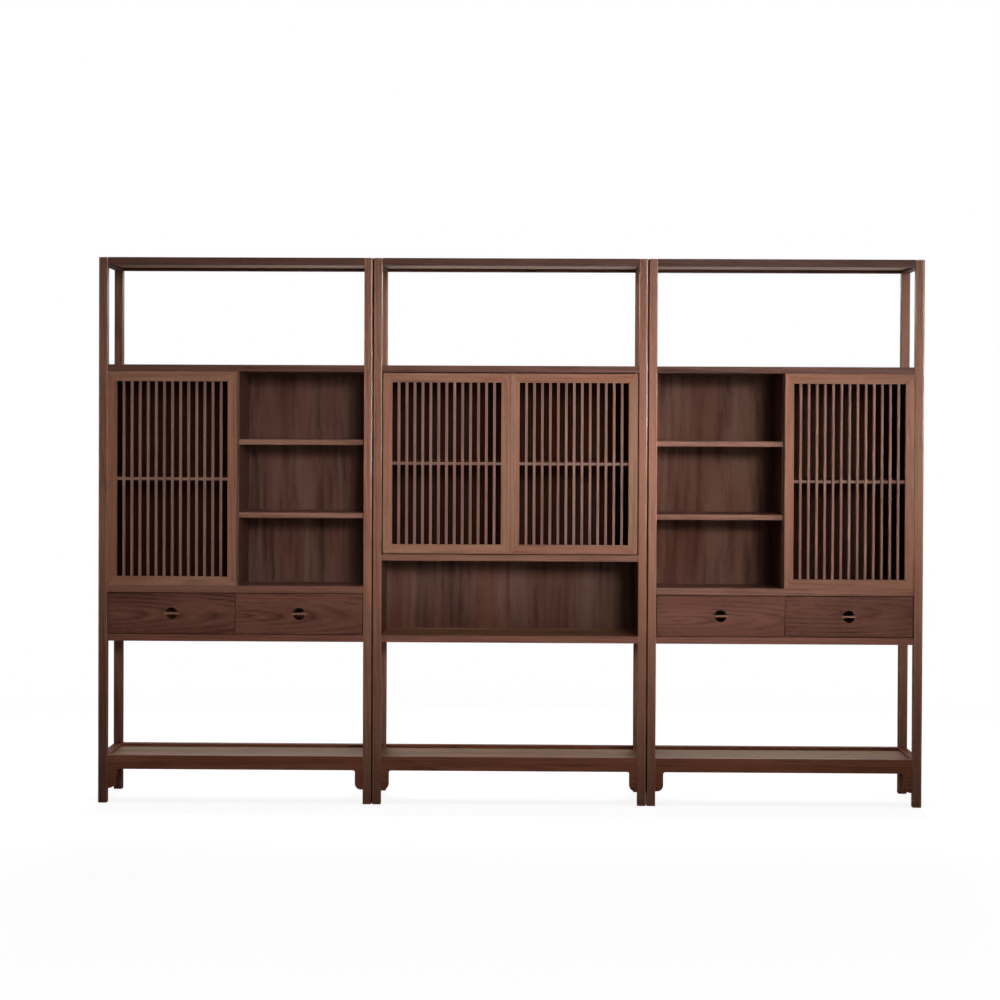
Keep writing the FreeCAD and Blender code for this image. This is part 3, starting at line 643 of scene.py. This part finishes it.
class Bench:
    """The workbench: models pieces in edit mode and marks the grain of their boards."""

    sharp: float = math.radians(35.0)
    smooth: float = math.radians(50.0)
    level: float = math.radians(1.0)
    merge: float = 0.00002
    normal_weight: int = 100
    strip_turn: float = 0.99
    strip_width: float = 0.004

    @staticmethod
    def clear() -> None:
        """Leave nothing selected, so that operators act on the new piece alone."""
        if bpy.context.object is not None and bpy.context.object.mode != "OBJECT":
            bpy.ops.object.mode_set(mode="OBJECT")
        bpy.ops.object.select_all(action="DESELECT")

    def start(self, name: str) -> Piece:
        """Open an empty piece in edit mode.

        Args:
            name: The piece's name.

        Returns:
            The piece, at the origin.
        """
        self.clear()
        bpy.ops.mesh.primitive_cube_add(size=1.0)
        piece = bpy.context.object
        piece.name = name
        piece.data.name = name
        bpy.ops.object.mode_set(mode="EDIT")
        bpy.ops.mesh.select_all(action="SELECT")
        bpy.ops.mesh.delete(type="VERT")
        return piece

    @staticmethod
    def add_board(low: Vector, high: Vector) -> None:
        """Add one squared board to the open piece, left selected."""
        bpy.ops.mesh.select_all(action="DESELECT")
        bpy.ops.mesh.primitive_cube_add(size=1.0, location=(low + high) / 2, scale=high - low)

    @staticmethod
    def shift(piece: Piece, test: Callable[[Vector], bool], by: Vector) -> None:
        """Move some of the selected points of the open piece.

        Args:
            piece: The piece in edit mode.
            test: Says which of the selected points move.
            by: How far they move.
        """
        mesh = bmesh.from_edit_mesh(piece.data)
        kept = [vertex for vertex in mesh.verts if vertex.select and test(vertex.co)]
        bpy.ops.mesh.select_all(action="DESELECT")
        for vertex in kept:
            vertex.select = True
        mesh.select_flush(True)
        bmesh.update_edit_mesh(piece.data)
        bpy.ops.transform.translate(value=by)

    def finish(self, piece: Piece, ease: float, steps: int = 2) -> Piece:
        """Soften the sharp edges of the open piece and close it.

        Args:
            piece: The piece in edit mode.
            ease: Width of the softened edge, in metres.
            steps: Faces across the softened edge.

        Returns:
            The finished piece.
        """
        bpy.ops.mesh.select_all(action="DESELECT")
        bpy.ops.mesh.select_mode(type="EDGE")
        bpy.ops.mesh.edges_select_sharp(sharpness=self.sharp)
        bpy.ops.mesh.bevel(offset=ease, segments=steps, profile=0.5, affect="EDGES", clamp_overlap=True)
        bpy.ops.mesh.select_mode(type="VERT")
        bpy.ops.object.mode_set(mode="OBJECT")
        bpy.ops.object.shade_smooth_by_angle(angle=self.smooth)
        bpy.ops.object.modifier_add(type="WEIGHTED_NORMAL")
        normals = piece.modifiers[-1]
        normals.weight = self.normal_weight
        normals.keep_sharp = True
        bpy.ops.object.modifier_apply(modifier=normals.name)
        return piece

    def machined(self, name: str, node: str, ease: float) -> Piece:
        """Make a piece from a merged copy of a node, with its edges softened.

        Args:
            name: The piece's name.
            node: The node it stands for.
            ease: Width of the softened edge, in metres.

        Returns:
            The finished piece.
        """
        self.clear()
        mesh = frame["nodes"][node].data.copy()
        mesh.name = name
        mesh.materials.clear()
        piece = bpy.data.objects.new(name, mesh)
        bpy.context.scene.collection.objects.link(piece)
        bpy.context.view_layer.objects.active = piece
        piece.select_set(True)
        bpy.ops.mesh.customdata_custom_splitnormals_clear()
        bpy.ops.object.mode_set(mode="EDIT")
        bpy.ops.mesh.select_all(action="SELECT")
        bpy.ops.mesh.remove_doubles(threshold=self.merge)
        bpy.ops.mesh.dissolve_limited(angle_limit=self.level)
        return self.finish(piece, ease)

    def mark_grain(self, piece: Piece, grain: Axis, tones: Tones) -> None:
        """Store each board's own grain space, its seed and its softened edges on the mesh.

        Args:
            piece: The finished piece.
            grain: The way the grain runs in all its boards.
            tones: How dark each board is, in the order that the boards were added.
        """
        mesh = piece.data
        points = np.array([vertex.co for vertex in mesh.vertices])
        edges = np.array([edge.vertices[:] for edge in mesh.edges])
        labels = groups_of_points(edges, len(points))
        space = np.zeros_like(points)
        seeds = np.zeros_like(points)
        for index, label in enumerate(np.unique(labels)):
            chosen = labels == label
            part = points[chosen]
            low = part.min(0)
            size = part.max(0) - low
            main = int(np.argmax(size)) if grain is Axis.LONGEST else grain.value
            rest = [axis for axis in (0, 1, 2) if axis != main]
            rest.sort(key=lambda axis: -size[axis])
            order = [main] + rest
            space[chosen] = (part - low - size / 2)[:, order]
            dice = random.Random(piece.name + str(index))
            draw = [dice.random(), dice.random(), dice.random()]
            if tones:
                draw[0] = tones[index % len(tones)]
            seeds[chosen] = draw
        for name, values in ((SPACE, space), (SEED, seeds)):
            layer = mesh.attributes.new(name=name, type="FLOAT_VECTOR", domain="POINT")
            layer.data.foreach_set("vector", values.astype(np.float32).ravel())
        strip = mesh.attributes.new(name=EDGE, type="FLOAT", domain="FACE")
        for face, cell in zip(mesh.polygons, strip.data):
            ends = [mesh.vertices[point].co for point in face.vertices]
            longest = max((a - b).length for a, b in zip(ends, ends[1:] + ends[:1]))
            slanted = max(abs(part) for part in face.normal) < self.strip_turn
            narrow = face.area / max(longest, TINY) < self.strip_width
            cell.value = 1.0 if slanted and narrow else 0.0


@dataclass(frozen=True)
class Dress:
    """The node that a piece stands for, its body, its timber, its grain and how dark its boards are."""

    node: str
    body: str
    finish: TimberFinish
    grain: Axis = Axis.LONGEST
    tones: Tones = ()


@dataclass
class Joiner:
    """Puts a finished piece in place of its node: its finish and its body."""

    bench: Bench
    groups: TimberGroups
    cupboards: tuple[Corners, ...]
    bays: tuple[Corners, ...]
    # Share of painted shade on faces in the open bays
    bay_shade: float = 0.43
    reach: float = 0.001

    def within(self, spot: Vector, spaces: Sequence[Corners]) -> bool:
        """Say whether a place is in or on the edge of one of some spaces.

        Args:
            spot: The place.
            spaces: The lowest and highest corner of each space.

        Returns:
            Whether one of them holds it.
        """
        near = self.reach
        for low, high in spaces:
            if all(low[axis] - near < spot[axis] < high[axis] + near for axis in range(3)):
                return True
        return False

    def mark_shut_in(self, piece: Piece, lined: bool) -> None:
        """Mark the faces inside the cases with painted shade, a darker, redder colour where less light
        reaches.

        Args:
            piece: A finished piece.
            lined: Whether the piece's faces in the open bays take a share of the painted shade as well.
        """
        layer = piece.data.attributes.new(name=SHADE_LAYER, type="FLOAT", domain="FACE")
        for face, cell in zip(piece.data.polygons, layer.data):
            if self.within(face.center, self.cupboards):
                cell.value = 1.0
            elif lined and self.within(face.center, self.bays):
                cell.value = self.bay_shade

    def score(self) -> None:
        """Divide the active piece along the walls of the cupboards, so that their faces can be marked."""
        bpy.ops.object.mode_set(mode="EDIT")
        for low, high in self.cupboards:
            for spot, facing in ((low, (1, 0, 0)), (high, (1, 0, 0)), (low, (0, 0, 1)), (high, (0, 0, 1))):
                bpy.ops.mesh.select_all(action="SELECT")
                bpy.ops.mesh.bisect(plane_co=spot, plane_no=facing)
        bpy.ops.object.mode_set(mode="OBJECT")

    def place(self, piece: Piece, dress: Dress) -> None:
        """Dress a piece and hang it on its body.

        Args:
            piece: The finished piece.
            dress: What it stands for and how it looks.
        """
        self.bench.mark_grain(piece, dress.grain, dress.tones)
        # Carcass pieces take painted shade on their faces inside the cases
        if dress.body == CARCASS:
            self.mark_shut_in(piece, dress.finish is PANEL_WALNUT)
        piece.data.materials.clear()
        piece.data.materials.append(dress.finish.material(self.groups))
        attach(piece, dress.body)
        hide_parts(dress.node)
        LOG.info("%s stands for %s on %s", piece.name, dress.node, dress.body)

    def boards(self, dress: Dress, ease: float = EASE, steps: int = 2, trim: float = 0.0,
               scored: bool = False) -> None:
        """Model every solid of a node as a squared board with softened edges.

        Args:
            dress: What the piece stands for and how it looks.
            ease: Width of the softened edge.
            steps: Faces across the softened edge.
            trim: Length of a hidden tenon to leave off at both ends of each board.
            scored: Whether faces are divided where a cupboard's walls stand.
        """
        piece = self.bench.start(dress.node + "_timber")
        for low, high in solid_boxes(dress.node):
            size = high - low
            longest = max(range(3), key=lambda axis: size[axis])
            low[longest] += trim
            high[longest] -= trim
            self.bench.add_board(low, high)
        self.bench.finish(piece, ease, steps)
        if scored:
            self.score()
        self.place(piece, dress)

    def machined(self, dress: Dress, ease: float = EASE) -> None:
        """Model a node from its machined shape, with softened edges."""
        self.place(self.bench.machined(dress.node + "_timber", dress.node, ease), dress)


@dataclass
class Unit:
    """The fixed timber of one cabinet in the row."""

    name: str
    joiner: Joiner
    # How dark each post is, partly its own tone and partly painted light and shade
    post_tones: Tones
    tenon: float = 0.0105
    post_ease: float = 0.003
    post_corner: float = 0.006
    seam: float = 0.0008
    seam_turn: float = 0.55
    corner_steps: int = 5
    # Panels below this level take a lighter tone, painted light for the sheen on the low shelf's top; higher
    # panels take a darker tone nearer the rails
    low_level: float = 0.3
    low_tone: float = 0.15
    high_tone: float = 0.5

    def build_posts(self) -> None:
        """Model the four posts, round at the outer corners, with a shadow line between units."""
        bench = self.joiner.bench
        node = self.name + "_posts"
        piece = bench.start(node + "_timber")
        low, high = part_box(node)
        row_low, row_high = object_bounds()
        seams = []
        if low.x > row_low.x + self.post_corner:
            low.x += self.seam
            seams.append(low.x)
        if high.x < row_high.x - self.post_corner:
            high.x -= self.seam
            seams.append(high.x)
        for board_low, board_high in solid_boxes(node):
            board_low.x = max(board_low.x, low.x)
            board_high.x = min(board_high.x, high.x)
            bench.add_board(board_low, board_high)
        bpy.ops.mesh.select_all(action="DESELECT")
        mesh = bmesh.from_edit_mesh(piece.data)
        for edge in mesh.edges:
            ends = [vertex.co for vertex in edge.verts]
            outer = all(min(abs(end.x - low.x), abs(end.x - high.x)) < CLOSE for end in ends)
            outer = outer and all(min(abs(end.y - low.y), abs(end.y - high.y)) < CLOSE for end in ends)
            edge.select = outer and abs(ends[0].z - ends[1].z) > self.post_corner
        bmesh.update_edit_mesh(piece.data)
        bpy.ops.mesh.bevel(offset=self.post_corner, segments=self.corner_steps, profile=0.5, affect="EDGES")
        bench.finish(piece, self.post_ease)
        self.joiner.place(piece, Dress(node, CARCASS, POST_WALNUT, Axis.Z, self.post_tones))
        self.shade_seams(piece, seams)

    def shade_seams(self, piece: Piece, seams: Sequence[float]) -> None:
        """Mark the faces turned to a neighbouring unit with painted shade, for the shade in the groove
        between the posts.

        Args:
            piece: The finished posts.
            seams: Where along the row the posts meet a neighbour.
        """
        for face, cell in zip(piece.data.polygons, piece.data.attributes[SHADE_LAYER].data):
            near = any(abs(face.center.x - spot) < self.post_corner for spot in seams)
            if near and abs(face.normal.x) > self.seam_turn:
                cell.value = 1.0

    def build(self) -> None:
        """Build posts, frames, panels, walls, deck and aprons."""
        make = self.joiner
        self.build_posts()
        make.boards(Dress(self.name + "_top_frame", CARCASS, SHADED_TOP_RAIL_WALNUT), trim=self.tenon)
        make.boards(Dress(self.name + "_case_bottom_frame", CARCASS, BASE_WALNUT), trim=self.tenon)
        make.boards(Dress(self.name + "_low_shelf_frame", CARCASS, LOW_RAIL_WALNUT), trim=self.tenon)
        make.machined(Dress(self.name + "_case_top_frame", CARCASS, RAIL_WALNUT))
        make.machined(Dress(self.name + "_deck", CARCASS, DECK_WALNUT))
        panels = self.name + "_frame_panels"
        levels = [low.z for low, _ in solid_boxes(panels)]
        # The low shelf's panel is lighter as painted sheen
        tones = tuple(self.low_tone if level < self.low_level else self.high_tone for level in levels)
        make.boards(Dress(panels, CARCASS, FLAT_WALNUT, Axis.X, tones))
        make.boards(Dress(self.name + "_case_walls", CARCASS, PANEL_WALNUT, Axis.Z), scored=True)
        make.machined(Dress(self.name + "_aprons", CARCASS, LOW_RAIL_WALNUT))


@dataclass
class SideInterior:
    """The partition, shelves and drawer guides inside a side unit."""

    name: str
    joiner: Joiner
    shelf_nose: float = 0.0045
    nose_steps: int = 4

    def build(self) -> None:
        """Build the fixed boards inside the case."""
        self.joiner.boards(Dress(self.name + "_partition", CARCASS, PANEL_WALNUT, Axis.Z))
        shelves = Dress(self.name + "_shelves", CARCASS, SHELF_WALNUT, Axis.X)
        self.joiner.boards(shelves, self.shelf_nose, self.nose_steps)
        self.joiner.boards(Dress(self.name + "_drawer_guides", CARCASS, LINING_WOOD, Axis.Y))


@dataclass
class SlattedDoor:
    """A door of four mitred members round upright slats and a middle bar."""

    name: str
    joiner: Joiner
    member: float = 0.033
    ease: float = 0.0015
    slat_ease: float = 0.0016
    bar_back: float = 0.0004
    meets: Side = Side.NEITHER
    meeting_fill: float = 0.0006
    tongues: bool = False
    tongue_top: float = 0.014
    tongue_low: float = 0.006
    tongue_thick: float = 0.009
    tongue_root: float = 0.001

    def frame_box(self) -> Corners:
        """Find the box of the four members, without the running tongues.

        Returns:
            Its lowest and highest corner.
        """
        low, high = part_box(self.name + "_frame")
        if self.meets is Side.RIGHT:
            high.x += self.meeting_fill
        if self.meets is Side.LEFT:
            low.x -= self.meeting_fill
        if self.tongues:
            low.z += self.tongue_low
            high.z -= self.tongue_top
        return low, high

    def add_member(self, piece: Piece, box: Corners, axis: int, side: int) -> None:
        """Add one member to the open frame and cut its mitres.

        Args:
            piece: The piece in edit mode.
            box: The frame's lowest and highest corner.
            axis: The axis across the member: 0 for a stile, 2 for a rail.
            side: -1 for the lower of the two members, 1 for the higher.
        """
        low, high = (corner.copy() for corner in box)
        along = 2 - axis
        middle = (low[along] + high[along]) / 2
        outer = low[axis] if side < 0 else high[axis]
        inner = outer - side * self.member
        low[axis], high[axis] = sorted((outer, inner))
        self.joiner.bench.add_board(low, high)
        for end in (1, -1):
            cut = Vector((0.0, 0.0, 0.0))
            cut[along] = -end * self.member
            self.joiner.bench.shift(
                piece, lambda co: abs(co[axis] - inner) < CLOSE and (co[along] - middle) * end > 0.0, cut)
            bpy.ops.mesh.select_linked()

    def build_frame(self) -> None:
        """Model the four mitred members, and the tongues of a sliding door."""
        bench = self.joiner.bench
        node = self.name + "_frame"
        low, high = self.frame_box()
        middle = (low + high) / 2
        piece = bench.start(node + "_timber")
        for axis in (0, 2):
            for side in (-1, 1):
                self.add_member(piece, (low, high), axis, side)
        if self.tongues:
            half = self.tongue_thick / 2
            bench.add_board(Vector((low.x, middle.y - half, high.z - self.tongue_root)),
                            Vector((high.x, middle.y + half, high.z + self.tongue_top)))
            bench.add_board(Vector((low.x, middle.y - half, low.z - self.tongue_low)),
                            Vector((high.x, middle.y + half, low.z + self.tongue_root)))
        bench.finish(piece, self.ease)
        self.joiner.place(piece, Dress(node, self.name, DOOR_WALNUT))

    def build_slats(self) -> None:
        """Model the slats and the bar that is let into their backs."""
        bench = self.joiner.bench
        node = self.name + "_slats"
        piece = bench.start(node + "_timber")
        for low, high in solid_boxes(node):
            if high.x - low.x > high.z - low.z:
                high.y -= self.bar_back
            bench.add_board(low, high)
        bench.finish(piece, self.slat_ease)
        self.joiner.place(piece, Dress(node, self.name, SLAT_WALNUT))

    def build(self) -> None:
        """Build the frame and the slats."""
        self.build_frame()
        self.build_slats()


@dataclass
class Drawer:
    """A drawer: bored front, plain box and pull bar."""

    name: str
    joiner: Joiner
    front_tone: float
    front_ease: float = 0.0015
    pull_ease: float = 0.0018
    box_ease: float = 0.0008
    side: float = 0.012
    base: float = 0.006
    base_lift: float = 0.008
    groove: float = 0.005

    def build_box(self) -> None:
        """Model the two sides, the back between them and the base let into all three."""
        bench = self.joiner.bench
        node = self.name + "_box"
        low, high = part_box(node)
        piece = bench.start(node + "_timber")
        bench.add_board(low, Vector((low.x + self.side, high.y, high.z)))
        bench.add_board(Vector((high.x - self.side, low.y, low.z)), high)
        bench.add_board(Vector((low.x + self.side, high.y - self.side, low.z)),
                        Vector((high.x - self.side, high.y, high.z)))
        rise = low.z + self.base_lift
        inset = self.side - self.groove
        bench.add_board(Vector((low.x + inset, low.y + self.groove, rise)),
                        Vector((high.x - inset, high.y - inset, rise + self.base)))
        self.joiner.place(bench.finish(piece, self.box_ease), Dress(node, self.name, LINING_WOOD))

    def build(self) -> None:
        """Build the front, the box and the bar."""
        front = Dress(self.name + "_front", self.name, DRAWER_WALNUT, Axis.X, (self.front_tone,))
        self.joiner.machined(front, self.front_ease)
        self.build_box()
        self.joiner.boards(Dress(self.name + "_pull", self.name, PULL_WALNUT, Axis.X), self.pull_ease)


@dataclass
class Metalwork:
    """Pivot pins, sockets and catches, which keep their turned shapes."""

    def build(self) -> None:
        """Give the metal nodes their finish."""
        brass = BRASS.material()
        dark = CATCH_METAL.material()
        for node, made in (("centre_pivot_sockets", brass), ("centre_left_door_pins", brass),
                           ("centre_right_door_pins", brass), ("centre_door_catches", dark)):
            mesh_object = frame["nodes"][node]
            for slot in mesh_object.material_slots:
                slot.material = made
            LOG.info("%s keeps its shape in %s", node, made.name)


@dataclass(frozen=True)
class Lamp:
    """A soft rectangular studio lamp."""

    name: str
    place: Place
    aim: Place
    size: tuple[float, float]
    power: float
    spread: float = 180.0

    def build(self) -> None:
        """Hang the lamp and point it at its aim."""
        light = bpy.data.lights.new(self.name, "AREA")
        light.shape = "RECTANGLE"
        light.size, light.size_y = self.size
        light.energy = self.power
        light.spread = math.radians(self.spread)
        lamp = bpy.data.objects.new(self.name, light)
        lamp.location = self.place
        lamp.visible_camera = False
        lamp.rotation_euler = (Vector(self.aim) - Vector(self.place)).to_track_quat("-Z", "Y").to_euler()
        bpy.context.scene.collection.objects.link(lamp)


@dataclass
class Studio:
    """The pale floor, the lamps, the surrounding light and the camera."""

    lamps: tuple[Lamp, ...] = (
        Lamp("left_lamp", (0.65, -7.0, 2.4), (-1.0, 0.0, 1.26), (2.2, 1.0), 3.5, 20.0),
        Lamp("middle_lamp", (1.75, -7.0, 2.4), (0.1, 0.0, 1.26), (2.2, 1.0), 2.1, 19.0),
        Lamp("right_lamp", (2.9, -7.0, 2.4), (1.25, 0.0, 1.28), (2.2, 1.0), 4.2, 18.0),
        Lamp("low_lamp", (1.0, -7.0, 1.1), (0.1, 0.0, 1.36), (3.4, 0.6), 1.45, 22.0),
        Lamp("front_lamp", (0.4, -6.6, 2.2), (0.1, 0.0, 1.3), (3.0, 2.0), 5.5),
        Lamp("edge_lamp", (7.4, -5.0, 1.6), (0.5, 0.0, 1.4), (0.6, 0.6), 2.3, 17.0),
        Lamp("top_lamp", (0.5, -0.8, 4.6), (0.3, 0.0, 0.5), (4.4, 2.0), 26.0),
        Lamp("wall_lamp", (0.5, 2.0, 0.5), (0.5, 0.0, 1.95), (3.6, 0.3), 7.5, 60.0),
        Lamp("back_left_lamp", (-1.3, 3.4, 2.4), (-0.9, 0.0, 0.7), (1.4, 1.0), 12.0, 100.0),
        Lamp("back_right_lamp", (1.3, 3.4, 2.4), (0.9, 0.0, 0.7), (1.4, 1.0), 12.0, 100.0),
    )
    ambient: float = 0.085
    mirror: float = 0.4
    floor_reach: float = 60.0
    floor_level: float = -0.0005
    floor_matt: Shade = (0.6, 0.6, 0.6, 1.0)
    floor_lift: float = 0.87
    floor_grey: Shade = (0.55, 0.55, 0.55, 1.0)
    floor_rough: float = 0.9
    floor_patch: tuple[float, float] = (4.6, 3.6)
    floor_fade: Span = Span(0.5, 1.0)
    eye: Place = (0.0523, -8.4447, 1.3711)
    turn: float = 0.701
    tip: float = -0.762
    roll: float = 0.251
    focal: float = 2.276
    shift: tuple[float, float] = (0.0032, -0.041)
    sensor: float = 36.0
    far: float = 200.0

    def build_floor(self) -> None:
        """Lay a pale floor that keeps the object's soft shadow and runs out to plain white."""
        Bench.clear()
        bpy.ops.mesh.primitive_plane_add(size=self.floor_reach, location=(0.0, 0.0, self.floor_level))
        floor = bpy.context.object
        floor.name = "studio_floor"
        made = bpy.data.materials.new("pale_floor")
        made.use_nodes = True
        graph = Graph(made.node_tree)
        plain = made.node_tree.nodes["Principled BSDF"]
        plain.inputs["Roughness"].default_value = self.floor_rough
        plain.inputs["Base Color"].default_value = self.floor_grey
        matt = graph.add("ShaderNodeBsdfDiffuse", {"Color": self.floor_matt})[0]
        lift = graph.add("ShaderNodeEmission", {"Strength": self.floor_lift})[0]
        near = graph.add("ShaderNodeAddShader", {0: matt, 1: lift})[0]
        white = graph.add("ShaderNodeEmission", {})[0]
        x, y, _ = graph.split(graph.add("ShaderNodeTexCoord", {})["Object"])
        across = graph.math("DIVIDE", x, self.floor_patch[0])
        along = graph.math("DIVIDE", y, self.floor_patch[1])
        away = graph.math("ADD", graph.math("MULTIPLY", across, across), graph.math("MULTIPLY", along, along))
        fade = graph.span(graph.math("SQRT", away), self.floor_fade)
        shown = graph.add("ShaderNodeMixShader", {0: fade, 1: near, 2: white})[0]
        seen = graph.add("ShaderNodeLightPath", {})["Is Camera Ray"]
        whole = graph.add("ShaderNodeMixShader", {0: seen, 1: plain.outputs[0], 2: shown})[0]
        graph.feed(whole, made.node_tree.nodes["Material Output"].inputs["Surface"])
        floor.data.materials.append(made)
        floor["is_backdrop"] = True

    def build_world(self) -> None:
        """Surround the scene with soft light that shows as plain white behind the object."""
        world = bpy.data.worlds.new("soft_studio")
        bpy.context.scene.world = world
        world.use_nodes = True
        graph = Graph(world.node_tree)
        back = world.node_tree.nodes["Background"]
        path = graph.add("ShaderNodeLightPath", {})
        seen = graph.math("MAXIMUM", path["Is Camera Ray"], path["Is Transmission Ray"])
        dim = graph.span(path["Is Glossy Ray"], Span(0.0, 1.0, self.ambient, self.mirror))
        graph.feed(graph.math("MAXIMUM", seen, dim), back.inputs["Strength"])
        back.inputs["Color"].default_value = (1.0, 1.0, 1.0, 1.0)

    def build_camera(self) -> None:
        """Stand the camera where the photograph was taken from."""
        data = bpy.data.cameras.new("photo_camera")
        data.sensor_fit = "HORIZONTAL"
        data.sensor_width = self.sensor
        data.lens = self.focal * self.sensor
        data.shift_x, data.shift_y = self.shift
        data.clip_end = self.far
        camera = bpy.data.objects.new("photo_camera", data)
        spin = Matrix.Rotation(math.radians(self.turn), 4, "Z")
        spin = spin @ Matrix.Rotation(math.radians(90.0 + self.tip), 4, "X")
        spin = spin @ Matrix.Rotation(math.radians(self.roll), 4, "Z")
        camera.matrix_world = Matrix.Translation(Vector(self.eye)) @ spin
        bpy.context.scene.collection.objects.link(camera)
        bpy.context.scene.camera = camera

    def build(self) -> None:
        """Build the whole studio."""
        bpy.context.scene.view_settings.view_transform = "Standard"
        self.build_floor()
        self.build_world()
        for lamp in self.lamps:
            lamp.build()
        self.build_camera()


def inner_spaces() -> tuple[tuple[Corners, ...], tuple[Corners, ...]]:
    """Find the space inside each case, and the part of it that doors close off.

    Returns:
        The corners of each closed cupboard, and those of each whole case.
    """
    cupboards = []
    bays = []
    for name, partition in (("left", Side.RIGHT), ("centre", Side.NEITHER), ("right", Side.LEFT)):
        walls = solid_boxes(name + "_case_walls")
        low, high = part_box(name + "_case_walls")
        panel = max(walls, key=lambda pair: pair[1].x - pair[0].x)
        left = min(pair[1].x for pair in walls)
        right = max(pair[0].x for pair in walls)
        bays.append((Vector((left, low.y, low.z)), Vector((right, panel[0].y, high.z))))
        if partition is Side.RIGHT:
            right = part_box(name + "_partition")[0].x
        if partition is Side.LEFT:
            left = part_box(name + "_partition")[1].x
        deck = max(box[1].z for box in solid_boxes(name + "_deck"))
        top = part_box(name + "_case_top_frame")[0].z
        cupboards.append((Vector((left, low.y, deck)), Vector((right, panel[0].y, top))))
    return tuple(cupboards), tuple(bays)


def main() -> None:
    """Build every piece of the row, then the studio."""
    logging.basicConfig(level=logging.INFO)
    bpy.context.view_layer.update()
    cupboards, bays = inner_spaces()
    joiner = Joiner(Bench(), TimberGroups(), cupboards, bays)
    for name, tones in POST_TONES_AND_SHADE.items():
        Unit(name, joiner, tones).build()
    for name in ("left", "right"):
        SideInterior(name, joiner).build()
        SlattedDoor(name + "_door", joiner, tongues=True).build()
    joiner.boards(Dress("centre_cupboard_shelf", CARCASS, SHELF_WALNUT, Axis.X))
    for name, side in (("centre_left_door", Side.RIGHT), ("centre_right_door", Side.LEFT)):
        SlattedDoor(name, joiner, meets=side).build()
    for number, tone in enumerate(DRAWER_TONES, start=1):
        Drawer("drawer_" + str(number), joiner, tone).build()
    Metalwork().build()
    Studio().build()
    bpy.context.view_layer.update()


if __name__ == "__main__":
    main()
